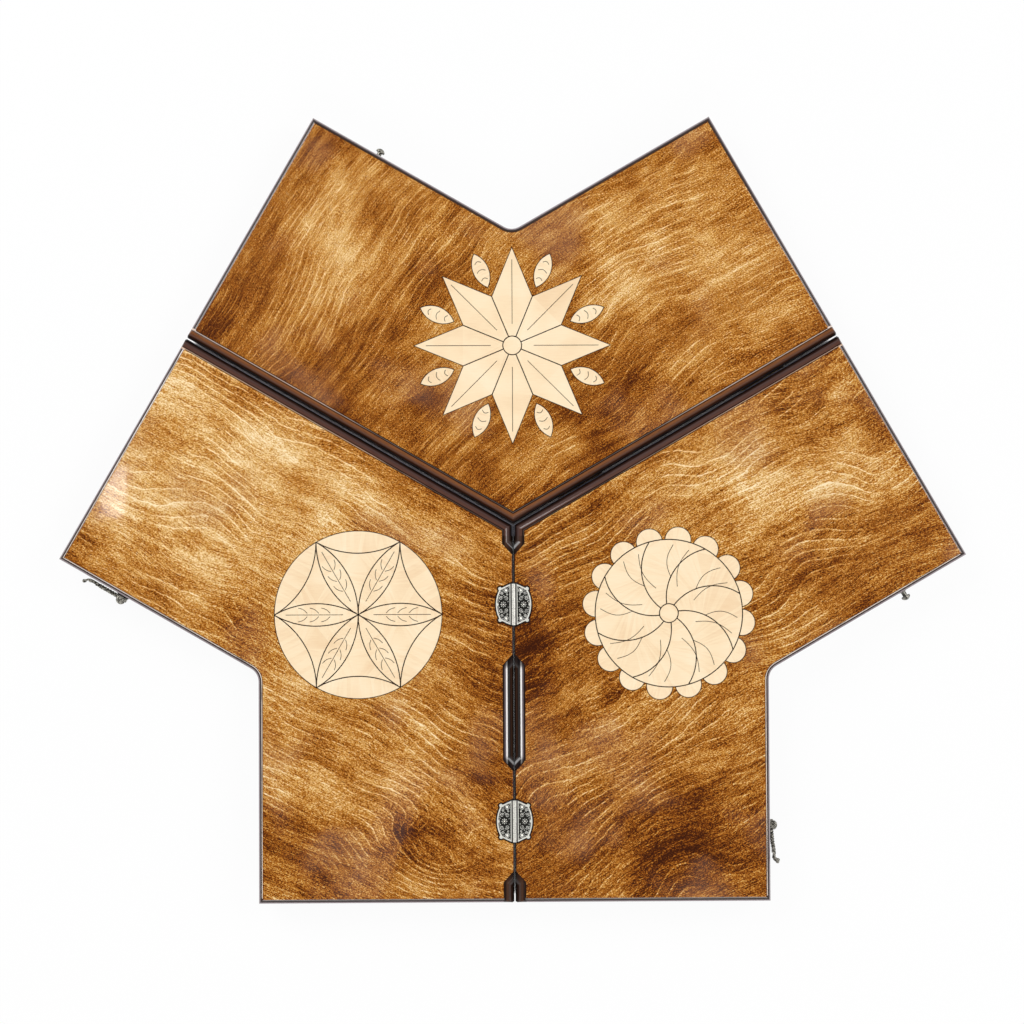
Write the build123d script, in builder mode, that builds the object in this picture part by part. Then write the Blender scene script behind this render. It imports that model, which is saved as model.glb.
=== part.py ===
"""Folding game board for three players: three hinged chevron trays, lying open with their outer faces up.

Millimetres, +Z up. The origin is under the middle of the whole set, on the surface that it stands on.
The three seams meet at the junction. An arm runs along each seam, and each tray holds half of two arms.
"""
import os
from collections import namedtuple
from math import cos, radians, sin, tan

from build123d import *

os.makedirs("parts", exist_ok=True)

# Trays
arm_spread = 120.0  # degrees between neighbouring arms
arm_width = 402.0
arm_reach = 297.0  # from the junction to an arm's end
tray_height = 35.0  # from rim to outer face
panel_thickness = 9.0
wall_thickness = 10.0
field_thickness = 3.0
seam_gap = 1.0
inside_corner = 12.0  # radius of the corner between a tray's two side faces
edge_round = 4.5  # radius along the free edges of an outer face
rim_round = 1.2  # radius along the free edges of a rim
board_gap = 0.1  # round a field inside its walls

# Moulding along the seam edges
mould_width = 7.8
mould_step = 1.0  # depth of the square step at its outer edge
mould_flat = 0.6  # width of the flat below that step
mould_land = 0.4  # flat left beside the seam
mould_stop = 48.0  # from a face hinge's middle to the shoulders of the moulding's pointed end
mould_point = 9.2  # how far the point leads past its shoulders
mould_spare = 1.2  # how far the section to cut reaches past the seam face

# Playing field
points_per_side = 6
point_length = 132.0
point_gap = 1.0  # between neighbouring points at their feet
point_margin = 1.5  # from a point's foot to the wall
veneer_thickness = 0.8

# Inlaid motifs
motif_distance = 141.0  # from the junction to a motif's middle
inlay_thickness = 1.2
inlay_gap = 0.8  # strip of dark wood between neighbouring inlays
star_radius = 78.0
star_waist = 42.0  # radius of the star's inside corners
star_rays = 8
leaf_foot = 50.0  # radius at which the leaves between the rays start
leaf_half_width = 6.0
flower_radius = 66.0
flower_petals = 6
whirl_radius = 58.0
whirl_bend = 13.0  # how far a blade's edge bows out of straight
whirl_blades = 8
scallop_radius = 10.0  # of the half-round shapes round the whirl
bead_radius = 7.0

# Face hinges, on the outer faces across the seam of the front arm
hinge_inset = 63.0  # middle of the inner hinge, from the junction
hinge_end_inset = 64.0  # middle of the outer hinge, from the arm's end
face_leaf_length = 32.6
face_leaf_reach = 13.9
face_leaf_thickness = 1.0
face_barrel_radius = 1.7
face_pin_radius = 0.8
face_axis_rise = 0.8  # hinge axis above the outer faces
face_ear_station = 12.3  # corner ears of a leaf, along the seam and across it
face_ear_reach = 10.6
face_ear_radius = 1.4
face_rim_width = 1.1
face_rim_height = 0.35
nail_station = 11.0  # nails of a leaf, along the seam and across it
nail_reach = 5.8
nail_shank_radius = 0.7
nail_head_radius = 1.3
nail_length = 7.0
nail_head_height = 0.55

# Rim hinges, let into the rims across the seam of the right arm
rim_leaf_length = 40.0
rim_leaf_reach = 8.6
rim_leaf_thickness = 1.0
rim_barrel_radius = 1.5
rim_pin_radius = 0.7
rim_axis_rise = 0.2  # hinge axis outside the plane of the rims
rim_leaf_corner = 2.0
screw_station = 12.0  # screws of a leaf, along the seam and across it
screw_reach = 5.2
screw_head_radius = 1.7
screw_head_depth = 0.8
screw_shank_radius = 0.9
screw_length = 9.0
screw_slot_width = 0.4
screw_slot_depth = 0.35

# Hinges of both kinds
knuckle_count = 5
knuckle_gap = 0.2
running_gap = 0.05  # radial, between a pin and its knuckles
barrel_gap = 0.3  # between a barrel and the wood
mortise_gap = 0.6  # round a leaf in its mortise
seat_gap = 0.05  # between hardware and the wood that holds it

# Hooks and latch studs, on the side faces
latch_inset = 57.0  # from the arm's end
hook_reach = 25.0  # from the pivot to the stud that the hook holds
right_hook_lift = 38.0  # degrees that the right hook stands above level
stem_radius = 1.9
stud_head_radius = 3.6
stud_head_height = 3.2
stud_lip_height = 1.0  # of the straight part below the head's dome
stud_head_stand = 4.9  # underside of a stud's head, from the side face
stud_flange_radius = 3.1
stud_flange_height = 0.9
stud_screw_radius = 1.3
stud_screw_length = 8.0
plate_radius = 5.2
plate_height = 1.3
plate_lobes = 8
plate_lobe_radius = 1.3
eye_radius = 4.6
eye_thickness = 3.0
hook_side_play = 0.3
arm_radius = 1.3  # of the plain neck at each end of the arm
twist_width = 2.6  # of the twisted square bar between the necks
twist_steps = 14
twist_step = 45.0  # degrees
claw_radius = 4.4
claw_thickness = 2.2
claw_gap = 0.25  # round the stem in the claw's notch
tab_width = 3.6
tab_thickness = 1.5
tab_level = 2.3  # length of the finger tab before its bend
tab_slope = 2.1  # length of its bent part, along the arm
tab_rise = 2.6  # how far the bent part leads away from the wall
tab_curl_radius = 1.4

# Derived sizes
seam_rise = radians(90 - arm_spread / 2)
arm_half = arm_width / 2
hinge_stations = (hinge_inset, arm_reach - hinge_end_inset)
latch_station = arm_reach - latch_inset
seam_face = seam_gap / 2
rim_z = rim_barrel_radius + rim_axis_rise
outer_z = rim_z + tray_height
panel_z = outer_z - panel_thickness
field_z = panel_z - field_thickness
end_inner = arm_reach - wall_thickness
side_inner = arm_half - wall_thickness
mould_round = mould_width - mould_flat - mould_land
mould_depth = mould_step + mould_round
highest_corner = arm_reach * sin(seam_rise) + arm_half * cos(seam_rise)
junction_y = (arm_reach - highest_corner) / 2

# Turn of each tray about the junction, from the rear one
rear_turn = 0.0
left_turn = arm_spread
right_turn = -arm_spread

UP = Vector(0, 0, 1)
DOWN = Vector(0, 0, -1)

Hinge = namedtuple("Hinge", "length reach thickness barrel pin rise")
face_hinge = Hinge(
    face_leaf_length, face_leaf_reach, face_leaf_thickness, face_barrel_radius, face_pin_radius, face_axis_rise
)
rim_hinge = Hinge(
    rim_leaf_length, rim_leaf_reach, rim_leaf_thickness, rim_barrel_radius, rim_pin_radius, rim_axis_rise
)


# Places on a tray
def arm_point(along, across, side):
    """Point in a tray's own plane, from its distance along one arm and its distance across from the seam."""
    x = along * cos(seam_rise) - across * sin(seam_rise)
    y = along * sin(seam_rise) + across * cos(seam_rise)
    return side * x, y


def corner_point(across):
    """Point on a tray's line of symmetry that is this far across from both seams."""
    return 0, across / cos(seam_rise)


def arm_vector(turn, side, along, across):
    """Direction in the set's frame, from its parts along and across one arm of a tray."""
    x, y = arm_point(along, across, side)
    return Vector(x, y, 0).rotate(Axis.Z, turn)


def arm_position(turn, side, along, across, height):
    """Point in the set's frame, from its place on one arm of a tray."""
    return arm_vector(turn, side, along, across) + Vector(0, junction_y, height)


def tray_plane(turn, height):
    """Level plane with the junction as its origin and a tray's line of symmetry as its Y."""
    x_direction = Vector(1, 0, 0).rotate(Axis.Z, turn)
    return Plane(origin=(0, junction_y, height), x_dir=x_direction, z_dir=UP)


def seam_plane(turn, side, along, across, height):
    """Upright plane square to a seam, with X into the tray and Y up."""
    inward = arm_vector(turn, side, 0, 1)
    return Plane(origin=arm_position(turn, side, along, across, height), x_dir=inward, z_dir=inward.cross(UP))


def leaf_plane(turn, side, station, outward, depth=0.0):
    """Plane of the face that a leaf is let into, with X into the tray and Z out of the face."""
    height = outer_z if outward == UP else rim_z
    origin = arm_position(turn, side, station, 0, height) - outward * depth
    return Plane(origin=origin, x_dir=arm_vector(turn, side, 0, 1), z_dir=outward)


def wall_plane(turn, side, height, lift=0.0, stand=0.0):
    """Plane on a side face at the latch's station, with X towards the arm's end and Z out of the wall."""
    outward = arm_vector(turn, side, 0, 1)
    towards_end = arm_vector(turn, side, 1, 0) * cos(radians(lift)) + UP * sin(radians(lift))
    origin = arm_position(turn, side, latch_station, arm_half, height) + outward * stand
    return Plane(origin=origin, x_dir=towards_end, z_dir=outward)


def edge_place(edge, turn):
    """Distance of an edge's middle along and across the nearer arm of a tray."""
    middle = tray_plane(turn, 0).to_local_coords(edge @ 0.5)
    along = abs(middle.X) * cos(seam_rise) + middle.Y * sin(seam_rise)
    across = middle.Y * cos(seam_rise) - abs(middle.X) * sin(seam_rise)
    return along, across


# Outlines of the wooden pieces
def chevron(plane, seam_edge, side_edge, end_edge, corner_radius):
    """Outline of a board that covers half of two arms."""
    outline_points = [
        corner_point(seam_edge),
        arm_point(end_edge, seam_edge, 1),
        arm_point(end_edge, side_edge, 1),
        corner_point(side_edge),
        arm_point(end_edge, side_edge, -1),
        arm_point(end_edge, seam_edge, -1),
    ]
    with BuildSketch(plane) as board:
        with BuildLine():
            Polyline(*outline_points, close=True)
        make_face()
        fillet(board.vertices().sort_by_distance(corner_point(side_edge))[0], radius=corner_radius)
    return board.sketch


def side_band(plane):
    """Outline of the side wall, bent round the inside corner."""
    outline_points = [
        arm_point(end_inner, arm_half, 1),
        corner_point(arm_half),
        arm_point(end_inner, arm_half, -1),
        arm_point(end_inner, side_inner, -1),
        corner_point(side_inner),
        arm_point(end_inner, side_inner, 1),
    ]
    with BuildSketch(plane) as band:
        with BuildLine():
            Polyline(*outline_points, close=True)
        make_face()
        fillet(band.vertices().sort_by_distance(corner_point(arm_half))[0], radius=inside_corner)
        inner_corner = band.vertices().sort_by_distance(corner_point(side_inner))[0]
        fillet(inner_corner, radius=inside_corner + wall_thickness)
    return band.sketch


def strip(plane, outline_points):
    """Straight-sided outline."""
    with BuildSketch(plane) as outline:
        with BuildLine():
            Polyline(*outline_points, close=True)
        make_face()
    return outline.sketch


def field_points(plane, parity):
    """Every second triangle of both half-arms, with its foot at the side wall and its tip towards the seam."""
    bend = (inside_corner + wall_thickness) * tan(seam_rise)
    first_foot = side_inner * tan(seam_rise) + bend
    pitch = (end_inner - board_gap - first_foot) / points_per_side
    foot = side_inner - board_gap - point_margin
    half_foot = (pitch - point_gap) / 2
    with BuildSketch(plane) as triangles:
        for side in (1, -1):
            for index in range(points_per_side):
                if (index + (side > 0)) % 2 != parity:
                    continue
                middle = first_foot + (index + 0.5) * pitch
                with BuildLine():
                    Polyline(
                        arm_point(middle - half_foot, foot, side),
                        arm_point(middle + half_foot, foot, side),
                        arm_point(middle, foot - point_length, side),
                        close=True,
                    )
                make_face()
    return triangles.sketch


# Inlaid motifs, each a set of separate shapes about its own middle
def motif_plane(turn, height):
    """Level plane with a motif's middle as its origin."""
    flat = tray_plane(turn, height)
    return Plane(origin=flat.from_local_coords((0, motif_distance, 0)), x_dir=flat.x_dir, z_dir=flat.z_dir)


def lens(start, end, half_width):
    """Pointed oval on the X axis, between two arcs."""
    middle = (start + end) / 2
    with BuildSketch() as oval:
        with BuildLine():
            ThreePointArc((start, 0), (middle, half_width), (end, 0))
            ThreePointArc((end, 0), (middle, -half_width), (start, 0))
        make_face()
    return oval.sketch


def resized(shape, amount):
    """Outline moved out by an amount, or in where it is negative."""
    return offset(shape, amount=amount, kind=Kind.INTERSECTION, mode=Mode.PRIVATE)


def star_motif(plane):
    """Star of kite-shaped rays, with a pointed leaf between each two of them and a bead in the middle."""
    half_step = radians(180 / star_rays)
    waist = (star_waist * cos(half_step), star_waist * sin(half_step))
    with BuildSketch() as kite:
        with BuildLine():
            Polyline((0, 0), waist, (star_radius, 0), (waist[0], -waist[1]), close=True)
        make_face()
    ray = resized(kite.sketch, -inlay_gap / 2)
    leaf = lens(leaf_foot, star_radius, leaf_half_width)
    with BuildSketch(plane) as motif:
        with PolarLocations(0, star_rays):
            add(ray)
        with PolarLocations(0, star_rays, start_angle=180 / star_rays):
            add(leaf)
        Circle(bead_radius + inlay_gap, mode=Mode.SUBTRACT)
        Circle(bead_radius)
    return motif.sketch


def flower_motif(plane):
    """Rosette drawn with one radius: petals from the middle, petals round the edge and the fields between."""
    half_step = radians(180 / flower_petals)
    bulge = flower_radius * (1 - cos(half_step))
    petal = lens(0, flower_radius, bulge)
    half_side = flower_radius * sin(half_step)
    edge_petal = lens(-half_side, half_side, bulge)
    apothem = flower_radius * cos(half_step)
    with BuildSketch(plane) as motif:
        RegularPolygon(flower_radius, flower_petals)
        with PolarLocations(0, flower_petals):
            add(resized(petal, inlay_gap / 2), mode=Mode.SUBTRACT)
        with PolarLocations(apothem, flower_petals, start_angle=180 / flower_petals):
            add(resized(edge_petal, inlay_gap / 2), rotation=90, mode=Mode.SUBTRACT)
        with PolarLocations(0, flower_petals):
            add(resized(petal, -inlay_gap / 2))
        with PolarLocations(apothem, flower_petals, start_angle=180 / flower_petals):
            add(resized(edge_petal, -inlay_gap / 2), rotation=90)
    return motif.sketch


def whirl_motif(plane):
    """Whirl of curved blades about a bead, inside a ring of half-round shapes."""
    step = 360 / whirl_blades
    half_radius = whirl_radius / 2
    edge_middle = Vector(half_radius, whirl_bend)
    rim_start = Vector(whirl_radius, 0)
    with BuildSketch() as sector:
        with BuildLine():
            ThreePointArc((0, 0), edge_middle, rim_start)
            ThreePointArc(rim_start, rim_start.rotate(Axis.Z, step / 2), rim_start.rotate(Axis.Z, step))
            ThreePointArc(rim_start.rotate(Axis.Z, step), edge_middle.rotate(Axis.Z, step), (0, 0))
        make_face()
    blade = resized(sector.sketch, -inlay_gap / 2)
    with BuildSketch() as scallop:
        with Locations((whirl_radius, 0)):
            Circle(scallop_radius)
        Circle(whirl_radius + inlay_gap / 2, mode=Mode.SUBTRACT)
    with BuildSketch(plane) as motif:
        with PolarLocations(0, whirl_blades):
            add(blade)
        with PolarLocations(0, 2 * whirl_blades):
            add(scallop.sketch)
        Circle(bead_radius + inlay_gap, mode=Mode.SUBTRACT)
        Circle(bead_radius)
    return motif.sketch


# Moulding
def mould_run(plane, spare, half_length):
    """Solid that a straight run of moulding takes out. The plane's X leads out over the run's outer edge."""
    curve_x = mould_flat + mould_round
    land_x = curve_x + mould_land + spare
    with BuildSketch(plane) as section:
        with BuildLine():
            Polyline(
                (-curve_x, -mould_depth),
                (-land_x, -mould_depth),
                (-land_x, mould_depth),
                (0, mould_depth),
                (0, -mould_step),
                (-mould_flat, -mould_step),
            )
            CenterArc((-mould_flat, -mould_depth), mould_round, 90, 90)
        make_face()
    return extrude(section.sketch, amount=half_length, both=True, mode=Mode.PRIVATE)


def cut_moulding(turn, side, start, stop):
    """Cuts one run of moulding out of the panel that is being built, and brings its stopped ends to a point."""
    outer_edge = seam_face + mould_width
    middle = (start + stop) / 2
    half_length = (stop - start) / 2 + mould_point
    run = mould_run(seam_plane(turn, side, middle, outer_edge, outer_z), mould_spare, half_length)
    for along, way in ((start, -1), (stop, 1)):
        if along < 0 or along > arm_reach:
            continue
        shoulder = arm_position(turn, side, along, outer_edge, outer_z)
        out = arm_vector(turn, side, way * outer_edge, mould_point).normalized()
        end_plane = Plane(origin=shoulder, x_dir=out, z_dir=out.cross(UP))
        run = run & mould_run(end_plane, 2 * half_length, 2 * half_length)
    add(run, mode=Mode.SUBTRACT)


# Hinges
def face_leaf_outline(plane, start, grow=0.0):
    """Outline of an ornate leaf from a start near its axis, with sloping ends, ears and a bowed edge."""
    half = face_leaf_length / 2
    root = face_barrel_radius + barrel_gap
    shoulder = (face_ear_reach, face_ear_station)
    low_shoulder = (face_ear_reach, -face_ear_station)
    with BuildSketch(plane) as outline:
        with BuildLine():
            Polyline(shoulder, (root, half), (0, half), (0, -half), (root, -half), low_shoulder)
            ThreePointArc(low_shoulder, (face_leaf_reach, 0), shoulder)
        make_face()
        with Locations(shoulder, low_shoulder):
            Circle(face_ear_radius)
        with Locations((start, 0)):
            Rectangle(face_leaf_reach, face_leaf_length, align=(Align.MAX, Align.CENTER), mode=Mode.SUBTRACT)
        if grow:
            offset(amount=grow, kind=Kind.INTERSECTION)
    return outline.sketch


def rim_leaf_outline(plane, start, grow=0.0):
    """Outline of a plain leaf with rounded outer corners."""
    half = rim_leaf_length / 2
    with BuildSketch(plane) as outline:
        with BuildLine():
            Polyline((start, -half), (rim_leaf_reach, -half), (rim_leaf_reach, half), (start, half), close=True)
        make_face()
        fillet(outline.vertices().group_by(Axis.X)[-1], radius=rim_leaf_corner)
        if grow:
            offset(amount=grow, kind=Kind.INTERSECTION)
    return outline.sketch


def barrel_section(face, hinge, radius, along=0.0):
    """Circle about the hinge's axis, in a plane square to it."""
    origin = face.from_local_coords((0, along, hinge.rise))
    with BuildSketch(Plane(origin=origin, x_dir=face.x_dir, z_dir=face.y_dir)) as circle:
        Circle(radius)
    return circle.sketch


def moved_plane(plane, x, y, z=0.0):
    """The same plane with its origin at another of its points."""
    return Plane(origin=plane.from_local_coords((x, y, z)), x_dir=plane.x_dir, z_dir=plane.z_dir)


def upright_plane(plane):
    """Plane through the first one's X and Z, with Y along that Z."""
    return Plane(origin=plane.origin, x_dir=plane.x_dir, z_dir=-plane.y_dir)


def cross_plane(plane, x):
    """Plane square to the first one's X, at a distance along it."""
    return Plane(origin=plane.from_local_coords((x, 0, 0)), x_dir=plane.y_dir, z_dir=plane.x_dir)


def disc(plane, radius):
    """Round outline about a plane's origin."""
    with BuildSketch(plane) as circle:
        Circle(radius)
    return circle.sketch


def cut_mortises(hinge, outline, turn, side, outward, fixings, shank_radius, shank_length):
    """Cuts the seats of two leaves, their barrels and their nails or screws out of the wood being built."""
    for station in hinge_stations:
        face = leaf_plane(turn, side, station, outward)
        extrude(outline(face, 0, mortise_gap), amount=-hinge.thickness, mode=Mode.SUBTRACT)
        groove = barrel_section(face, hinge, hinge.barrel + barrel_gap)
        extrude(groove, amount=hinge.length / 2 + mortise_gap, both=True, mode=Mode.SUBTRACT)
        for x, y in fixings:
            hole = disc(moved_plane(face, x, y), shank_radius + seat_gap)
            extrude(hole, amount=-shank_length - seat_gap, mode=Mode.SUBTRACT)


def add_knuckles(hinge, face, parity):
    """Adds every second knuckle to the leaf being built, with its web to the plate, and bores the leaf."""
    pitch = hinge.length / knuckle_count
    clear = hinge.barrel + barrel_gap
    for index in range(parity, knuckle_count, 2):
        middle = (index + 0.5) * pitch - hinge.length / 2
        half = (pitch - knuckle_gap) / 2
        low, high = middle - half, middle + half
        web = strip(face, [(0, low), (clear, low), (clear, high), (0, high)])
        extrude(web, amount=-hinge.thickness)
        extrude(barrel_section(face, hinge, hinge.barrel, middle), amount=half, both=True)
    bore = barrel_section(face, hinge, hinge.pin + running_gap)
    extrude(bore, amount=hinge.length, both=True, mode=Mode.SUBTRACT)


def make_face_leaf(name, turn, side, station, parity):
    """Ornate leaf on an outer face, with a raised rim, ears and a boss at the middle of its side."""
    face = leaf_plane(turn, side, station, UP)
    start = face_hinge.barrel + barrel_gap
    with BuildPart() as leaf:
        extrude(face_leaf_outline(face, start), amount=-face_hinge.thickness)
        with BuildSketch(face):
            add(face_leaf_outline(Plane.XY, start))
            add(face_leaf_outline(Plane.XY, start, -face_rim_width), mode=Mode.SUBTRACT)
            with Locations((face_leaf_reach - face_rim_width, 0)):
                Circle(face_rim_width)
        extrude(amount=face_rim_height)
        add_knuckles(face_hinge, face, parity)
        for x, y in nail_places:
            hole = disc(moved_plane(face, x, y), nail_shank_radius + seat_gap)
            extrude(hole, amount=-face_hinge.thickness, mode=Mode.SUBTRACT)
    leaf.part.label = name
    export_step(leaf.part, f"parts/{name}.step")


def make_rim_leaf(name, turn, side, station, parity):
    """Plain leaf in a rim, countersunk for its screws."""
    face = leaf_plane(turn, side, station, DOWN)
    start = rim_hinge.barrel + barrel_gap
    with BuildPart() as leaf:
        extrude(rim_leaf_outline(face, start), amount=-rim_hinge.thickness)
        add_knuckles(rim_hinge, face, parity)
        for x, y in screw_places:
            seat = moved_plane(face, x, y)
            with BuildSketch(upright_plane(seat)):
                with BuildLine():
                    Polyline(
                        (0, 0),
                        (screw_head_radius + seat_gap, 0),
                        (screw_shank_radius + seat_gap, -screw_head_depth),
                        (screw_shank_radius + seat_gap, -rim_hinge.thickness),
                        (0, -rim_hinge.thickness),
                        close=True,
                    )
                make_face()
            revolve(axis=Axis(seat.origin, seat.z_dir), mode=Mode.SUBTRACT)
    leaf.part.label = name
    export_step(leaf.part, f"parts/{name}.step")


def make_hinge_pin(name, hinge, turn, side, station, outward):
    """Pin through all the knuckles of a hinge."""
    face = leaf_plane(turn, side, station, outward)
    with BuildPart() as pin:
        extrude(barrel_section(face, hinge, hinge.pin), amount=hinge.length / 2, both=True)
    pin.part.label = name
    export_step(pin.part, f"parts/{name}.step")


def make_nails(name, turn, side):
    """Round-headed nails of both face leaves on one tray."""
    with BuildPart() as nails:
        for station in hinge_stations:
            for x, y in nail_places:
                seat = moved_plane(leaf_plane(turn, side, station, UP), x, y)
                with BuildSketch(upright_plane(seat)):
                    with BuildLine():
                        Polyline(
                            (0, nail_head_height),
                            (0, -nail_length),
                            (nail_shank_radius, nail_shank_radius * 2 - nail_length),
                            (nail_shank_radius, 0),
                            (nail_head_radius, 0),
                        )
                        TangentArc((0, nail_head_height), (nail_head_radius, 0), tangent=(1, 0))
                    make_face()
                revolve(axis=Axis(seat.origin, seat.z_dir))
    nails.part.label = name
    export_step(nails.part, f"parts/{name}.step")


def make_screws(name, turn, side):
    """Countersunk slotted screws of both rim leaves on one tray."""
    with BuildPart() as screws:
        for station in hinge_stations:
            for x, y in screw_places:
                seat = moved_plane(leaf_plane(turn, side, station, DOWN), x, y)
                with BuildSketch(upright_plane(seat)):
                    with BuildLine():
                        Polyline(
                            (0, 0),
                            (screw_head_radius, 0),
                            (screw_shank_radius, -screw_head_depth),
                            (screw_shank_radius, screw_shank_radius * 2 - screw_length),
                            (0, -screw_length),
                            close=True,
                        )
                    make_face()
                revolve(axis=Axis(seat.origin, seat.z_dir))
                with BuildSketch(seat):
                    Rectangle(screw_head_radius * 2, screw_slot_width)
                extrude(amount=-screw_slot_depth, mode=Mode.SUBTRACT)
    screws.part.label = name
    export_step(screws.part, f"parts/{name}.step")


# Hooks and latch studs
def stud_profile(plane, flange_radius):
    """Half section of a mushroom-headed stud with its screw. X is the radius and Y the height off the wall."""
    lip = stud_head_stand + stud_lip_height
    top = stud_head_stand + stud_head_height
    with BuildSketch(plane) as profile:
        with BuildLine():
            Polyline(
                (0, top),
                (0, -stud_screw_length),
                (stud_screw_radius, stud_screw_radius - stud_screw_length),
                (stud_screw_radius, 0),
                (stem_radius, 0),
                (stem_radius, stud_head_stand),
                (stud_head_radius, stud_head_stand),
                (stud_head_radius, lip),
            )
            TangentArc((0, top), (stud_head_radius, lip), tangent=(1, 0))
        make_face()
        if flange_radius:
            Rectangle(flange_radius, stud_flange_height, align=(Align.MIN, Align.MIN))
    return profile.sketch


def make_stud(name, turn, side, height, flange_radius):
    """Mushroom-headed stud, screwed into a side wall, with a flange or without one."""
    wall = wall_plane(turn, side, height)
    with BuildPart() as stud:
        revolve(stud_profile(upright_plane(wall), flange_radius), axis=Axis(wall.origin, wall.z_dir))
    stud.part.label = name
    export_step(stud.part, f"parts/{name}.step")


def make_hook_plate(name, turn, side, height):
    """Lobed plate between a hook and the wall."""
    wall = wall_plane(turn, side, height)
    with BuildPart() as plate:
        with BuildSketch(wall):
            Circle(plate_radius - plate_lobe_radius)
            with PolarLocations(plate_radius - plate_lobe_radius, plate_lobes):
                Circle(plate_lobe_radius)
            Circle(stem_radius + seat_gap, mode=Mode.SUBTRACT)
        extrude(amount=plate_height)
    plate.part.label = name
    export_step(plate.part, f"parts/{name}.step")


def make_hook(name, turn, side, height, lift, opening):
    """Hook with an eye, a twisted arm, a claw that opens to one side, and a bent finger tab."""
    middle = plate_height + hook_side_play + eye_thickness / 2
    centre = wall_plane(turn, side, height, lift, middle)
    section = upright_plane(centre)
    arm_start = eye_radius - arm_radius / 2
    arm_end = hook_reach - claw_radius + arm_radius / 2
    twist_pitch = (hook_reach - claw_radius - eye_radius) / twist_steps
    tab_start = hook_reach + claw_radius - tab_thickness
    tab_bend = tab_start + tab_level
    tab_tip = (tab_bend + tab_slope, tab_rise)
    with BuildPart() as hook:
        extrude(disc(centre, eye_radius), amount=eye_thickness / 2, both=True)
        extrude(disc(cross_plane(centre, arm_start), arm_radius), amount=arm_end - arm_start)
        for index in range(twist_steps + 1):
            with BuildSketch(cross_plane(centre, eye_radius + index * twist_pitch)):
                Rectangle(twist_width, twist_width, rotation=index * twist_step)
        loft(ruled=True)
        with BuildSketch(centre):
            with Locations((hook_reach, 0)):
                Circle(claw_radius)
        extrude(amount=claw_thickness / 2, both=True)
        with BuildSketch(section):
            with BuildLine():
                tab_line = FilletPolyline((tab_start, 0), (tab_bend, 0), tab_tip, radius=tab_thickness)
            trace(tab_line, line_width=tab_thickness)
            with Locations(tab_tip):
                Circle(tab_curl_radius)
        extrude(amount=tab_width / 2, both=True)
        notch = stem_radius + claw_gap
        with BuildSketch(centre):
            with Locations((hook_reach, 0)):
                Circle(notch)
            with Locations((hook_reach, opening * claw_radius)):
                Rectangle(notch * 2, claw_radius * 2)
        extrude(amount=eye_thickness, both=True, mode=Mode.SUBTRACT)
        extrude(disc(centre, stem_radius + running_gap), amount=eye_thickness, both=True, mode=Mode.SUBTRACT)
    hook.part.label = name
    export_step(hook.part, f"parts/{name}.step")


# Wooden pieces
def make_panel(name, turn, motif, runs, hinged_side):
    """Outer board, with its rounded free edges, its moulding, and the seats of its inlays and hinge leaves."""
    board = chevron(tray_plane(turn, panel_z), seam_face, arm_half, arm_reach, inside_corner)
    nailed = (nail_places, nail_shank_radius, nail_length)
    with BuildPart() as panel:
        extrude(board, amount=panel_thickness)
        top_edges = panel.faces().sort_by(Axis.Z)[-1].edges()
        fillet([edge for edge in top_edges if edge_place(edge, turn)[1] > wall_thickness], radius=edge_round)
        for side, start, stop in runs:
            cut_moulding(turn, side, start, stop)
        extrude(motif(motif_plane(turn, outer_z)), amount=-inlay_thickness, mode=Mode.SUBTRACT)
        if hinged_side:
            cut_mortises(face_hinge, face_leaf_outline, turn, hinged_side, UP, *nailed)
    panel.part.label = name
    export_step(panel.part, f"parts/{name}.step")


def make_inlay(name, turn, motif):
    """Pale inlays of one outer face, flush with it."""
    with BuildPart() as inlay:
        extrude(motif(motif_plane(turn, outer_z)), amount=-inlay_thickness)
    inlay.part.label = name
    export_step(inlay.part, f"parts/{name}.step")


def make_field(name, turn):
    """Playing board inside a tray, with the seats of its points."""
    plane = tray_plane(turn, field_z)
    seam_edge = seam_face + wall_thickness + board_gap
    corner = inside_corner + wall_thickness + board_gap
    board = chevron(plane, seam_edge, side_inner - board_gap, end_inner - board_gap, corner)
    with BuildPart() as field:
        extrude(board, amount=field_thickness)
        for parity in (0, 1):
            extrude(field_points(plane, parity), amount=veneer_thickness, mode=Mode.SUBTRACT)
    field.part.label = name
    export_step(field.part, f"parts/{name}.step")


def make_points(name, turn, parity):
    """Veneer points of one colour, flush with the field."""
    with BuildPart() as points:
        extrude(field_points(tray_plane(turn, field_z), parity), amount=veneer_thickness)
    points.part.label = name
    export_step(points.part, f"parts/{name}.step")


def free_rim_edges(piece, turn):
    """Edges of a wall's rim that lie on the tray's side or end faces."""
    rim_edges = piece.faces().sort_by(Axis.Z)[0].edges()
    places = [(edge, edge_place(edge, turn)) for edge in rim_edges]
    end_line = arm_reach - board_gap
    side_line = arm_half - board_gap
    return [edge for edge, (along, across) in places if along > end_line or across > side_line]


def cut_stud_hole(turn, side, height):
    """Bores the wall being built for the screw of a stud."""
    hole = disc(wall_plane(turn, side, height), stud_screw_radius + seat_gap)
    extrude(hole, amount=-stud_screw_length - seat_gap, mode=Mode.SUBTRACT)


def make_side_wall(name, turn, stud_places):
    """Wall along both side faces, bent round the inside corner."""
    with BuildPart() as wall:
        extrude(side_band(tray_plane(turn, rim_z)), amount=panel_z - rim_z)
        fillet(free_rim_edges(wall, turn), radius=rim_round)
        for side, height in stud_places:
            cut_stud_hole(turn, side, height)
    wall.part.label = name
    export_step(wall.part, f"parts/{name}.step")


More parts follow.
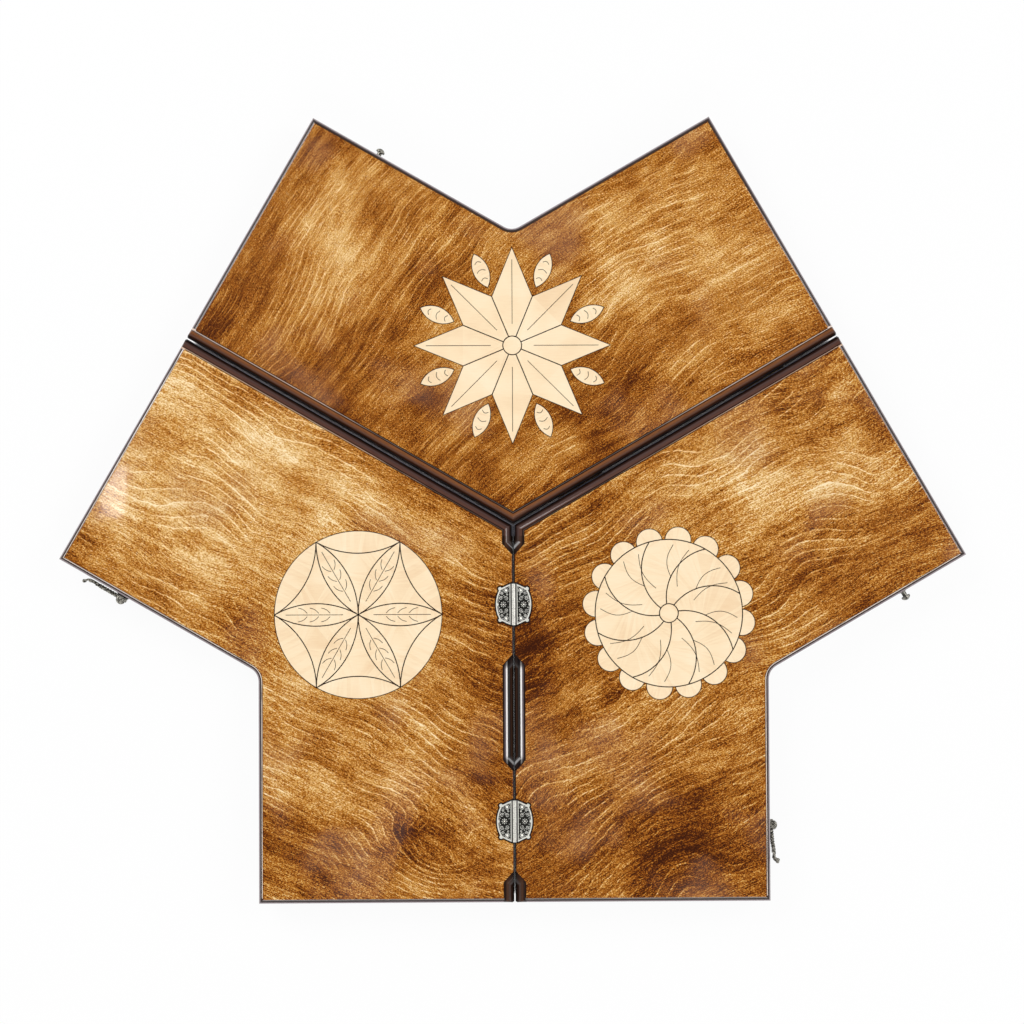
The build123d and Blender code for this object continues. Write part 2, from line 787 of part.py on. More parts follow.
def make_end_wall(name, turn, side):
    """Wall across the end of one half-arm."""
    outline_points = [
        arm_point(end_inner, seam_face, side),
        arm_point(arm_reach, seam_face, side),
        arm_point(arm_reach, arm_half, side),
        arm_point(end_inner, arm_half, side),
    ]
    with BuildPart() as wall:
        extrude(strip(tray_plane(turn, rim_z), outline_points), amount=panel_z - rim_z)
        fillet(free_rim_edges(wall, turn), radius=rim_round)
    wall.part.label = name
    export_step(wall.part, f"parts/{name}.step")


def make_seam_wall(name, turn, side, hinged):
    """Wall along one seam, mitred at the junction, with the seats of the rim leaves where it is hinged."""
    outline_points = [
        corner_point(seam_face),
        arm_point(end_inner, seam_face, side),
        arm_point(end_inner, seam_face + wall_thickness, side),
        corner_point(seam_face + wall_thickness),
    ]
    screwed = (screw_places, screw_shank_radius, screw_length)
    with BuildPart() as wall:
        extrude(strip(tray_plane(turn, rim_z), outline_points), amount=panel_z - rim_z)
        if hinged:
            cut_mortises(rim_hinge, rim_leaf_outline, turn, side, DOWN, *screwed)
    wall.part.label = name
    export_step(wall.part, f"parts/{name}.step")


# Places that several pieces share
nail_places = [(nail_reach, nail_station), (nail_reach, -nail_station)]
screw_places = [(screw_reach, screw_station), (screw_reach, -screw_station)]
face_latch_z = outer_z - (hook_reach / 2 - face_axis_rise)
rim_latch_z = rim_z + hook_reach / 2 - rim_axis_rise
before_junction = -2 * mould_width
past_end = arm_reach + 2 * mould_width


def through_run(side):
    """Moulding along the whole of a seam."""
    return [(side, before_junction, past_end)]


def stopped_runs(side):
    """Moulding that stops short of each face hinge."""
    starts = [before_junction] + [station + mould_stop for station in hinge_stations]
    stops = [station - mould_stop for station in hinge_stations] + [past_end]
    return [(side, start, stop) for start, stop in zip(starts, stops)]


# The trays. Side 1 of a tray is its half-arm on the right, seen from the junction outwards.
Tray = namedtuple("Tray", "name turn arms motif runs face_side rim_side studs")
trays = [
    Tray(
        "rear_tray",
        rear_turn,
        {1: "right", -1: "left"},
        star_motif,
        through_run(1) + through_run(-1),
        0,
        1,
        [(-1, rim_latch_z)],
    ),
    Tray(
        "left_tray",
        left_turn,
        {1: "left", -1: "front"},
        flower_motif,
        through_run(1) + stopped_runs(-1),
        -1,
        0,
        [(1, face_latch_z)],
    ),
    Tray(
        "right_tray",
        right_turn,
        {1: "front", -1: "right"},
        whirl_motif,
        stopped_runs(1) + through_run(-1),
        1,
        -1,
        [(1, rim_latch_z), (-1, face_latch_z)],
    ),
]
for tray in trays:
    make_panel(f"{tray.name}_panel", tray.turn, tray.motif, tray.runs, tray.face_side)
    make_inlay(f"{tray.name}_motif", tray.turn, tray.motif)
    make_field(f"{tray.name}_field", tray.turn)
    make_points(f"{tray.name}_light_points", tray.turn, 0)
    make_points(f"{tray.name}_dark_points", tray.turn, 1)
    make_side_wall(f"{tray.name}_side_wall", tray.turn, tray.studs)
    for side, arm in tray.arms.items():
        make_end_wall(f"{tray.name}_end_wall_{arm}", tray.turn, side)
        make_seam_wall(f"{tray.name}_seam_wall_{arm}", tray.turn, side, side == tray.rim_side)

# The hinges
for place, station in zip(("inner", "outer"), hinge_stations):
    make_face_leaf(f"face_hinge_{place}_left_leaf", left_turn, -1, station, 1)
    make_face_leaf(f"face_hinge_{place}_right_leaf", right_turn, 1, station, 0)
    make_hinge_pin(f"face_hinge_{place}_pin", face_hinge, right_turn, 1, station, UP)
    make_rim_leaf(f"rim_hinge_{place}_rear_leaf", rear_turn, 1, station, 1)
    make_rim_leaf(f"rim_hinge_{place}_right_leaf", right_turn, -1, station, 0)
    make_hinge_pin(f"rim_hinge_{place}_pin", rim_hinge, right_turn, -1, station, DOWN)
make_nails("face_hinge_left_nails", left_turn, -1)
make_nails("face_hinge_right_nails", right_turn, 1)
make_screws("rim_hinge_rear_screws", rear_turn, 1)
make_screws("rim_hinge_right_screws", right_turn, -1)

# The latches. Each hook swings onto the stud that lies over or under its pivot once the trays are folded.
make_stud("left_hook_pivot", left_turn, 1, face_latch_z, 0)
make_hook_plate("left_hook_plate", left_turn, 1, face_latch_z)
make_hook("left_hook", left_turn, 1, face_latch_z, 0, -1)
make_stud("right_latch_stud", right_turn, -1, face_latch_z, stud_flange_radius)
make_stud("right_hook_pivot", right_turn, 1, rim_latch_z, 0)
make_hook_plate("right_hook_plate", right_turn, 1, rim_latch_z)
make_hook("right_hook", right_turn, 1, rim_latch_z, right_hook_lift, 1)
make_stud("rear_latch_stud", rear_turn, -1, rim_latch_z, stud_flange_radius)
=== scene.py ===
"""Looks of the folding game board: materials, drawn lines, cast relief, lights and camera."""

from math import atan, cos, pi, radians, sin, sqrt

import bpy
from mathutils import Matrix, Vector


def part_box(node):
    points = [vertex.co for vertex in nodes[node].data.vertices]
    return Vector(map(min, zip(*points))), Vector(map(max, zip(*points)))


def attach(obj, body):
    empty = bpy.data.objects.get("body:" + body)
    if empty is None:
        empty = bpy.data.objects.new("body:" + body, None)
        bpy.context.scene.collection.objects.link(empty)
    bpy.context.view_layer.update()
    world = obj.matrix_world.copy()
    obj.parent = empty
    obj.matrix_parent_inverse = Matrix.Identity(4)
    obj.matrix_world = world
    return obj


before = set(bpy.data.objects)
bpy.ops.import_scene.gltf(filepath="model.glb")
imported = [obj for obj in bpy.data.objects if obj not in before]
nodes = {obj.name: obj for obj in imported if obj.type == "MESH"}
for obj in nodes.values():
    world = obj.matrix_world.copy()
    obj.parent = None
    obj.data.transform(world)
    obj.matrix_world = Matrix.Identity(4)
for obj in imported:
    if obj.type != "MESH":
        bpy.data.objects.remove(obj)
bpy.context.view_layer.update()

# The scene is in metres, like the CAD's frame
MM = 0.001
SEAM_RISE = radians(30)  # of the two rear seams, from the left and right directions

# Sizes and places of the CAD, in millimetres. Stations run from the junction to the front.
ARM_HALF = 201.0
ARM_REACH = 297.0
JUNCTION = Vector((0.0, (ARM_REACH / 2 - ARM_HALF * cos(SEAM_RISE)) / 2, 0.0))  # where the three seams meet
FACE_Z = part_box("rear_tray_panel")[1].z / MM  # height of the outer faces
MOTIF_DISTANCE = 141.0  # from the junction to the middle of an inlay
MOTIF_REACH = 90.0  # no inlay reaches further from its middle
MOULD_EDGE = 8.3  # from a seam's middle line to the outer step of its moulding
STRIP_HALF = 9.5  # half the width of the strip that holds the recesses between the front trays
STRIP_START = 9.0  # station where that strip starts
HINGE_STATIONS = (63.0, 233.0)
HINGE_TO_RUN = 48.0  # from a face hinge to the shoulders of the middle recess
MIDDLE_STATION = sum(HINGE_STATIONS) / 2
HALF_RUN = MIDDLE_STATION - HINGE_STATIONS[0] - HINGE_TO_RUN
TIP_END = 40.0  # from the shoulders of the middle recess to a place past its tips

# Each tray's turn about the junction, in degrees
TURNS = {"rear": 0.0, "left": 120.0, "right": -120.0}


# Node trees
class Wire:
    """A value in a material's node tree, with arithmetic."""

    def __init__(self, shader, socket):
        self.shader = shader
        self.socket = socket

    def __add__(self, other):
        return self.shader.math("ADD", self, other)

    __radd__ = __add__

    def __sub__(self, other):
        return self.shader.math("SUBTRACT", self, other)

    def __rsub__(self, other):
        return self.shader.math("SUBTRACT", other, self)

    def __mul__(self, other):
        return self.shader.math("MULTIPLY", self, other)

    __rmul__ = __mul__

    def __truediv__(self, other):
        return self.shader.math("DIVIDE", self, other)


class Shader:
    """A procedural material, built by short calls that take numbers or wires."""

    def __init__(self, name):
        self.material = bpy.data.materials.new(name)
        self.material.use_nodes = True
        self.tree = self.material.node_tree
        self.tree.nodes.clear()

    def feed(self, socket, value):
        if isinstance(value, Wire):
            self.tree.links.new(value.socket, socket)
        else:
            socket.default_value = value

    def node(self, kind, inputs, **settings):
        made = self.tree.nodes.new(kind)
        for key, value in settings.items():
            setattr(made, key, value)
        for socket, value in inputs.items():
            self.feed(made.inputs[socket], value)
        return made

    def math(self, operation, a, b=0.0):
        made = self.node("ShaderNodeMath", {0: a, 1: b}, operation=operation)
        return Wire(self, made.outputs[0])

    def position(self):
        """Place on the object at rest, in millimetres."""
        coordinates = self.tree.nodes.new("ShaderNodeTexCoord")
        scaled = self.node(
            "ShaderNodeVectorMath",
            {0: Wire(self, coordinates.outputs["Object"]), 1: (1 / MM, 1 / MM, 1 / MM)},
            operation="MULTIPLY",
        )
        parts = self.node("ShaderNodeSeparateXYZ", {0: Wire(self, scaled.outputs[0])})
        return [Wire(self, parts.outputs[axis]) for axis in range(3)]

    def vector(self, x, y, z):
        made = self.node("ShaderNodeCombineXYZ", {0: x, 1: y, 2: z})
        return Wire(self, made.outputs[0])

    def noise(self, x, y, z, detail=2.0, roughness=0.5):
        """Noise about 0, from coordinates in units of its own grain."""
        made = self.node(
            "ShaderNodeTexNoise",
            {"Vector": self.vector(x, y, z), "Scale": 1.0, "Detail": detail, "Roughness": roughness},
        )
        return Wire(self, made.outputs["Fac"]) - 0.5

    def smooth(self, value, low, high):
        """0 at low to 1 at high, with soft ends."""
        made = self.node(
            "ShaderNodeMapRange",
            {"Value": value, "From Min": low, "From Max": high},
            interpolation_type="SMOOTHSTEP",
        )
        return Wire(self, made.outputs[0])

    def band(self, value, rise, fall):
        """1 within a band and 0 outside it, with a soft rise and fall between two values each."""
        return self.smooth(value, *rise) * (1.0 - self.smooth(value, *fall))

    def ramp(self, value, stops):
        """Colour that blends from stop to stop, each a place from 0 to 1 and a colour."""
        made = self.node("ShaderNodeValToRGB", {0: value})
        elements = made.color_ramp.elements
        while len(elements) < len(stops):
            elements.new(0.5)
        for element, (place, colour) in zip(elements, stops):
            element.position = place
            element.color = (*colour, 1.0)
        return Wire(self, made.outputs[0])

    def mix(self, amount, first, second):
        """Colour between two, the first at 0 and the second at 1."""
        made = self.node("ShaderNodeMix", {0: amount}, data_type="RGBA")
        for index, colour in ((6, first), (7, second)):
            self.feed(made.inputs[index], colour if isinstance(colour, Wire) else (*colour, 1.0))
        return Wire(self, made.outputs[2])

    def bump(self, height, distance):
        """Normal of a surface that rises by the height times the distance, which is in millimetres."""
        made = self.node("ShaderNodeBump", {"Height": height, "Distance": distance * MM, "Strength": 1.0})
        return Wire(self, made.outputs[0])

    def finish(self, **inputs):
        """The material, with a surface whose sockets are named in words joined by underscores."""
        surface = self.node("ShaderNodeBsdfPrincipled", {})
        for key, value in inputs.items():
            socket = surface.inputs[key.replace("_", " ")]
            is_colour = socket.type == "RGBA" and not isinstance(value, Wire)
            self.feed(socket, (*value, 1.0) if is_colour else value)
        output = self.tree.nodes.new("ShaderNodeOutputMaterial")
        self.tree.links.new(surface.outputs[0], output.inputs[0])
        return self.material


# Places on a tray
def tray_coordinates(shader, turn, x, y):
    """Distance along the nearer seam from the junction, and across from its middle line."""
    away = y - JUNCTION.y
    c, s = cos(radians(-turn)), sin(radians(-turn))
    local_x = shader.math("ABSOLUTE", x * c - away * s)
    local_y = x * s + away * c
    along = local_x * cos(SEAM_RISE) + local_y * sin(SEAM_RISE)
    across = local_y * cos(SEAM_RISE) - local_x * sin(SEAM_RISE)
    return along, across


# Stained veneer, from its darkest tone to its palest
VENEER_STOPS = [
    (0.10, (0.042, 0.008, 0.001)),
    (0.24, (0.155, 0.035, 0.002)),
    (0.38, (0.305, 0.085, 0.006)),
    (0.52, (0.495, 0.188, 0.021)),
    (0.66, (0.660, 0.345, 0.080)),
    (0.80, (0.810, 0.545, 0.225)),
    (1.00, (0.960, 0.780, 0.500)),
]
# Darkest stains; in the moulding's groove, beside the seams and in the recess they also stand as painted
# shade
BLACK_STAIN_AND_SHADE = (0.006, 0.003, 0.002)
DARK_STAIN_AND_SHADE = (0.010, 0.006, 0.005)
# Painted grey highlight on the moulding's edge next to the seam
GREY_LAND_SHEEN = (0.170, 0.165, 0.195)
RED_BROWNS = ((0.045, 0.015, 0.010), (0.098, 0.042, 0.029))

# Looks of the three trays
VENEERS = {
    "rear": {
        "grain": (0.90, -0.0013, 0.00000133),  # its slope and two bends
        "tone": 0.485,
        "wear_and_sheen": (90.0, 190.0),  # stretch along a seam in which the painted highlight on its arris turns bright
        "brown": ((0.070, 0.019, 0.005), (0.215, 0.078, 0.026)),  # of the moulding, the rear tray's lighter in part as a painted reflection
        "land": DARK_STAIN_AND_SHADE,  # of the moulding, next to the seam: painted shade here, a painted grey highlight on the other trays
        "seam": DARK_STAIN_AND_SHADE,  # of the outer face next to the seam: painted shade on the rear and right trays, a painted grey sheen on the left
        # painted highlight on the arris at the moulding's outer step
        "arris": (0.80, 0.64, 0.54),
        "pale": (0.0, 0.0),  # strength of the painted highlight on the side and end edges
        "lines": 0.65,  # strength of the growth rings
        "seed": 3.1,
        "spots": [  # x and y from the junction, reach in x and y, tone, growth rings added
            (-225, 165, 60, 55, -0.24, 0.0),
            (-150, 300, 45, 30, -0.22, 0.0),
            (140, 215, 110, 70, 0.11, 0.0),
            (-150, 190, 60, 60, 0.10, 0.0),
            (-120, 260, 60, 50, 0.06, 0.0),
            (90, 120, 30, 24, -0.26, 0.6),
            (62, 84, 45, 26, -0.20, 0.0),
            (-68, 98, 16, 12, -0.30, 1.0),
            (-130, 130, 60, 40, -0.10, 1.5),
        ],
    },
    "left": {
        "grain": (-0.53, 0.0, 0.0),
        "tone": 0.575,
        "wear_and_sheen": (70.0, 130.0),
        "brown": RED_BROWNS,
        "land": GREY_LAND_SHEEN,
        "seam": (0.170, 0.125, 0.130),
        "arris": (0.62, 0.42, 0.30),
        "pale": (1.0, 0.8),
        "lines": 0.90,
        "seed": 17.7,
        "spots": [
            (-265, 70, 110, 80, 0.22, 0.0),
            (-200, 30, 70, 60, 0.10, 0.0),
            (-50, -155, 45, 40, 0.08, 0.0),
            (-58, -256, 34, 24, -0.20, 4.0),
            (-84, -240, 14, 8, -0.34, 1.0),
            (-215, -78, 16, 20, -0.25, 1.2),
            (-165, -270, 60, 45, -0.30, 0.0),
            (-40, -180, 40, 70, -0.12, 0.0),
            (-90, -215, 50, 30, -0.04, 0.0),
            (-20, -90, 26, 60, -0.20, 0.0),
            (-345, -10, 20, 30, -0.14, 0.0),
        ],
    },
    "right": {
        "grain": (0.62, -0.0003, 0.0),
        "tone": 0.46,
        "wear_and_sheen": (80.0, 180.0),
        "brown": RED_BROWNS,
        "land": GREY_LAND_SHEEN,
        "seam": (0.012, 0.007, 0.006),
        "arris": (0.62, 0.42, 0.30),
        "pale": (1.0, 0.0),
        "lines": 1.0,
        "seed": 31.3,
        "spots": [
            (180, 35, 90, 60, 0.20, 0.0),
            (270, 50, 60, 50, 0.10, 0.0),
            (130, -60, 80, 60, 0.06, 3.5),
            (14, -95, 30, 60, -0.18, 0.0),
            (75, -135, 12, 16, -0.28, 0.8),
            (285, 22, 45, 40, -0.06, 1.6),
            (90, -255, 90, 60, -0.28, 0.0),
            (185, -265, 45, 40, -0.16, 1.2),
            (100, 120, 90, 26, -0.12, 0.0),
        ],
    },
}

RING_WIDTH = 8.5
RING_STEP = 0.35  # over which the slope of the rings is taken
LEAST_SLOPE = 0.004  # added to it, so that nothing is divided by 0
SHADE_END = 42.0  # how far from a seam's middle line its darker stain reaches
VEIL = (0.40, 0.235, 0.165)


def bell(shader, x, y, spot):
    """1 at the middle of a spot, fading to 0 round it."""
    dx = (x - spot[0]) / spot[2]
    dy = (y - spot[1]) / spot[3]
    return shader.math("EXPONENT", (dx * dx + dy * dy) * -1.0)


def over_grain(x, y, look):
    """Height above the curve that the grain follows."""
    a, b, c = look["grain"]
    return y - x * a - x * x * b - x * x * x * c


def ring_phase(shader, x, y, look):
    """Number of the growth ring at a place. A pale line lies half-way between two whole numbers."""
    seed = look["seed"]
    swell = shader.noise(x / 105.0, y / 105.0, seed, 1.0) * 80.0
    ripple = shader.noise(x / 24.0, y / 24.0, seed + 5.0, 1.5, 0.6) * 8.0
    phase = (over_grain(x, y, look) + swell + ripple) / RING_WIDTH
    for spot in look["spots"]:
        if spot[5]:
            phase = phase + bell(shader, x, y, spot) * spot[5]
    return phase


def veneer_colour(shader, x, y, across, look):
    """Colour of the stained veneer, from the tone of its clouds, fibres and growth rings."""
    seed = look["seed"]
    slope = atan(look["grain"][0])
    swirl = shader.noise(x / 95.0, y / 95.0, seed + 2.0, 1.0) * 34.0
    sway = shader.noise(x / 26.0, y / 26.0, seed + 4.0, 1.0) * 6.0
    over = (over_grain(x, y, look) + swirl + sway) * cos(slope)
    along = x * cos(slope) + y * sin(slope)
    # Clouds of stain, fibres and pores
    cloud = shader.noise(x / 58.0, y / 58.0, seed + 9.0, 4.0, 0.6)
    drift = shader.noise(along / 48.0, over / 15.0, seed + 11.0, 3.0, 0.6)
    flame = shader.noise(along / 17.0, over / 5.0, seed + 13.0, 2.0, 0.6)
    streak = shader.noise(along / 45.0, over / 1.8, seed + 15.0, 2.0, 0.7)
    fibre = shader.noise(along / 17.0, over / 0.62, seed + 17.0, 1.0)
    pore = shader.noise(along / 1.3, over / 0.5, seed + 19.0)
    tone = cloud * 1.05 + drift * 0.45 + flame * 0.36 + streak * 0.28 + fibre * 0.90 + pore * 2.2
    tone = tone + look["tone"]
    for spot in look["spots"]:
        tone = tone + bell(shader, x, y, spot) * spot[4]
    tone = tone - (1.0 - shader.smooth(across, MOULD_EDGE, SHADE_END)) * 0.13
    # Pale lines where one ring meets the next, of one width wherever they run
    here = ring_phase(shader, x, y, look)
    right = (ring_phase(shader, x + RING_STEP, y, look) - here) / RING_STEP
    up = (ring_phase(shader, x, y + RING_STEP, look) - here) / RING_STEP
    steepness = shader.math("SQRT", right * right + up * up) + LEAST_SLOPE
    to_line = shader.math("ABSOLUTE", shader.math("FRACT", here) - 0.5) / steepness
    line = 1.0 - shader.smooth(to_line, 0.15, 0.75)
    shown = shader.smooth(shader.noise(x / 48.0, y / 48.0, seed + 23.0, 2.0), -0.12, 0.14)
    growth = shader.math("FRACT", here + 0.5) - 0.5
    year = shader.noise(here * 0.75, seed, x / 300.0, 1.0)
    tone = tone + (line * 0.42 + growth * 0.12) * shown * look["lines"] + year * 0.50
    stained = shader.ramp(tone * 0.7 + 0.1, VENEER_STOPS)
    # Milky patches in the lacquer
    veil = shader.smooth(shader.noise(x / 70.0, y / 70.0, seed + 29.0, 2.0), 0.03, 0.22)
    return shader.mix(veil * 0.20, stained, VEIL)


def solid_wood_colour(shader, along, across, z, seed):
    """Colour of the dark-stained solid wood of edges and walls."""
    streak = shader.noise(along / 40.0, across / 1.6, z / 1.6 + seed, 3.0, 0.6)
    cloud = shader.noise(along / 70.0, across / 20.0, z / 20.0 + seed + 3.0, 2.0)
    return shader.ramp(
        streak * 0.8 + cloud * 0.6 + 0.5,
        [(0.15, (0.014, 0.006, 0.004)), (0.5, (0.042, 0.017, 0.009)), (0.85, (0.110, 0.046, 0.020))],
    )


def lacquer_waves(shader, x, y, z):
    """Normal of a gloss lacquer, hand-rubbed and very slightly uneven."""
    return shader.bump(shader.noise(x / 9.0, y / 9.0, z / 9.0, 1.0), 0.012)


WOOD_ROUGHNESS = 0.42
GLOSS = {"Specular_IOR_Level": 0.1, "Coat_Weight": 1.0, "Coat_Roughness": 0.045, "Coat_IOR": 1.5}
SATIN = {"Specular_IOR_Level": 0.4, "Coat_Weight": 0.5, "Coat_Roughness": 0.18}
# Painted light on the free edges: a pale highlight, a black dark reflection, and grey light on the steep part
EDGE_HIGHLIGHT = (0.84, 0.70, 0.60)
EDGE_DARK_REFLECTION = (0.018, 0.008, 0.006)
STEEP_GREY_LIGHT = (0.270, 0.205, 0.222)
# Painted reflections in the middle recess, a white highlight among them, and painted shade in its tips
REFLECTION_BLACK = (0.004, 0.002, 0.002)
SHINE_WHITE = (0.950, 0.910, 0.880)
TIP_SHADE_BLACK = (0.008, 0.005, 0.005)

# Bands of the free edges, by their depth below the outer face, with the rise and the fall of each: a painted
# highlight, a black band of painted dark reflection and painted grey light
EDGE_START = (0.05, 0.08)
HIGHLIGHT_BAND = ((0.14, 0.20), (0.34, 0.44))
DARK_REFLECTION_BAND = ((0.34, 0.44), (1.00, 1.50))
GREY_LIGHT_BAND = ((1.00, 1.50), (3.2, 4.2))

SEAM_LIP = (1.1, 1.4)  # distance across the seam at which its lip ends
ARRIS_WIDTH = 0.62
ARRIS_BLUR = 0.16
MOULD_SCALE = 10.0  # distance across the seam at which the moulding's colour ramps end


def finish_gloss(shader, colour, x, y, z):
    """Material of wood under gloss lacquer."""
    return shader.finish(
        Base_Color=colour, Roughness=WOOD_ROUGHNESS, Coat_Normal=lacquer_waves(shader, x, y, z), **GLOSS
    )


def free_edge_colour(shader, along, across, y, z, patch, face, look):
    """Colour down a free edge: the face's, a painted pale highlight, a black band of painted dark reflection,
    and painted grey light on the steep part.
    """
    depth = FACE_Z - z
    at_end = shader.smooth(along, ARM_REACH - 4.8, ARM_REACH - 4.5)
    side_pale, end_pale = look["pale"]
    highlight_strength = (at_end * (end_pale - side_pale) + side_pale) * shader.smooth(patch, -0.30, 0.08)
    # The front end edges have no painted highlight
    highlight_strength = highlight_strength * (1.0 - shader.smooth(JUNCTION.y - y, ARM_REACH - 5.0, ARM_REACH - 4.5))
    edge = solid_wood_colour(shader, along, across, z, look["seed"])
    edge = shader.mix(shader.smooth(depth, *EDGE_START), face, edge)
    edge = shader.mix(shader.band(depth, *HIGHLIGHT_BAND) * highlight_strength, edge, EDGE_HIGHLIGHT)
    edge = shader.mix(shader.band(depth, *DARK_REFLECTION_BAND), edge, EDGE_DARK_REFLECTION)
    return shader.mix(shader.band(depth, *GREY_LIGHT_BAND) * 0.85, edge, STEEP_GREY_LIGHT)


def moulding_colour(shader, along, across, streak, patch, look):
    """Brown that turns black towards the seam, the black partly painted shade on the moulding's steep side,
    with a dark line of painted shade at the outer step, a painted highlight on the arris there, and a painted
    grey highlight next to the seam on the left and right trays.
    """
    brown = shader.ramp(
        (across + streak) / MOULD_SCALE,
        [
            (0.09, look["land"]),
            (0.13, BLACK_STAIN_AND_SHADE),
            (0.19, BLACK_STAIN_AND_SHADE),
            (0.36, look["brown"][0]),
            (0.58, look["brown"][1]),
            (0.67, look["brown"][1]),
            (0.73, (0.012, 0.005, 0.004)),
        ],
    )
    fibre = shader.noise(along / 11.0, across / 0.8, look["seed"] + 6.0, 2.0)
    brown = shader.mix(shader.smooth(fibre, 0.0, 0.22) * 0.5, brown, look["brown"][0])
    # Painted highlight on the arris, stronger along the stretch that the look gives
    arris_start = MOULD_EDGE - ARRIS_WIDTH
    arris = shader.smooth(across, arris_start, arris_start + ARRIS_BLUR)
    wear_and_sheen = shader.smooth(along + patch * 150.0, *look["wear_and_sheen"])
    return shader.mix(arris * (wear_and_sheen * 0.80 + 0.16), brown, look["arris"])


def recess_colour(shader, across, streak, station):
    """Painted reflections in the middle recess between the front trays, painted black shade in its tips, and
    in the other two a plain dark brown that turns black, painted shade, towards the seam.
    """
    painted_reflections = shader.ramp(
        (across + streak * 0.6) / MOULD_SCALE,
        [
            (0.06, REFLECTION_BLACK),
            (0.18, (0.060, 0.026, 0.014)),
            (0.32, REFLECTION_BLACK),
            (0.48, DARK_STAIN_AND_SHADE),
            (0.54, SHINE_WHITE),
            (0.60, SHINE_WHITE),
            (0.66, (0.100, 0.075, 0.085)),
            (0.72, (0.190, 0.150, 0.165)),
            (0.78, (0.010, 0.006, 0.006)),
        ],
    )
    plain_dark = shader.ramp(
        (across + streak) / MOULD_SCALE,
        [
            (0.08, BLACK_STAIN_AND_SHADE),
            (0.30, (0.030, 0.012, 0.007)),
            (0.60, (0.066, 0.029, 0.016)),
            (0.74, (0.018, 0.008, 0.005)),
        ],
    )
    past_run = shader.math("ABSOLUTE", station - MIDDLE_STATION) - HALF_RUN
    painted_reflections = shader.mix(shader.smooth(past_run, -4.0, 1.0) * 0.8, painted_reflections, TIP_SHADE_BLACK)
    return shader.mix(shader.smooth(past_run, TIP_END, TIP_END + 1.0), painted_reflections, plain_dark)


def make_panel_material(name):
    """Veneer on the outer face, and solid wood on the edges and in the moulding."""
    look = VENEERS[name]
    shader = Shader(f"{name}_tray_panel")
    x, y, z = shader.position()
    along, across = tray_coordinates(shader, TURNS[name], x, y)
    station = JUNCTION.y - y
    face = veneer_colour(shader, x, y - JUNCTION.y, across, look)
    # Lips of the seams, in painted shade on the right tray and a painted grey sheen on the left
    face = shader.mix(1.0 - shader.smooth(across, *SEAM_LIP), face, look["seam"])
    patch = shader.noise(along / 35.0, across / 35.0, look["seed"] + 1.0, 2.0)
    streak = shader.noise(along / 30.0, across / 1.2, look["seed"], 3.0, 0.6) * 0.5
    edge = free_edge_colour(shader, along, across, y, z, patch, face, look)
    moulding = moulding_colour(shader, along, across, streak, patch, look)
    in_strip = 1.0 - shader.smooth(shader.math("ABSOLUTE", x), STRIP_HALF, STRIP_HALF + 0.1)
    in_strip = in_strip * shader.smooth(station, STRIP_START, STRIP_START + 0.1)
    moulding = shader.mix(in_strip, moulding, recess_colour(shader, across, streak, station))
    near_seam = 1.0 - shader.smooth(across, MOULD_EDGE + 0.5, MOULD_EDGE + 1.0)
    edge = shader.mix(near_seam, edge, moulding)
    on_face = 1.0 - shader.smooth(FACE_Z - z, 0.004, 0.012)
    return finish_gloss(shader, shader.mix(on_face, edge, face), x, y, z)


def make_wall_material(name):
    shader = Shader(f"{name}_tray_walls")
    x, y, z = shader.position()
    along, across = tray_coordinates(shader, TURNS[name], x, y)
    colour = solid_wood_colour(shader, along, across, z, VENEERS[name]["seed"])
    return finish_gloss(shader, colour, x, y, z)


def make_inlay_material():
    """Pale wood, a little different from one inlaid piece to the next."""
    shader = Shader("pale_inlay")
    x, y, z = shader.position()
    cloud = shader.noise(x / 30.0, y / 30.0, 2.0, 2.0)
    fibre = shader.noise(x / 9.0, y / 0.9, 4.0, 2.0)
    island = shader.tree.nodes.new("ShaderNodeNewGeometry")
    piece = Wire(shader, island.outputs["Random Per Island"]) - 0.5
    colour = shader.ramp(
        cloud * 0.9 + fibre * 0.35 + piece * 0.25 + 0.5,
        [(0.1, (0.86, 0.615, 0.375)), (0.5, (0.945, 0.745, 0.495)), (0.9, (0.985, 0.830, 0.600))],
    )
    return finish_gloss(shader, colour, x, y, z)


def make_field_material():
    shader = Shader("field_veneer")
    x, y, z = shader.position()
    streak = shader.noise(x / 30.0, y / 2.0, 7.0, 3.0, 0.6)
    cloud = shader.noise(x / 60.0, y / 40.0, 9.0, 2.0)
    colour = shader.ramp(
        streak * 0.7 + cloud * 0.9 + 0.5,
        [(0.1, (0.15, 0.055, 0.014)), (0.5, (0.33, 0.145, 0.040)), (0.9, (0.52, 0.27, 0.085))],
    )
    return shader.finish(Base_Color=colour, Roughness=WOOD_ROUGHNESS, **SATIN)


def make_point_material(name, turn, dark, pale):
    """Veneer of the points, with its fibres square to the seam."""
    shader = Shader(name)
    x, y, z = shader.position()
    along, across = tray_coordinates(shader, turn, x, y)
    streak = shader.noise(along / 1.6, across / 30.0, 3.0, 3.0, 0.6)
    cloud = shader.noise(x / 40.0, y / 40.0, 5.0, 2.0)
    colour = shader.ramp(streak * 0.8 + cloud * 0.6 + 0.5, [(0.1, dark), (0.9, pale)])
    return shader.finish(Base_Color=colour, Roughness=WOOD_ROUGHNESS, **SATIN)


def make_line_material(name, colour):
    """Dark line, darker and paler in patches."""
    shader = Shader(name)
    x, y, z = shader.position()
    patch = shader.noise(x / 3.0, y / 3.0, 2.0, 2.0) + 0.5
    tone = shader.ramp(patch, [(0.2, tuple(0.6 * c for c in colour)), (0.8, tuple(1.5 * c for c in colour))])
    return shader.finish(Base_Color=tone, Roughness=0.5, **GLOSS)


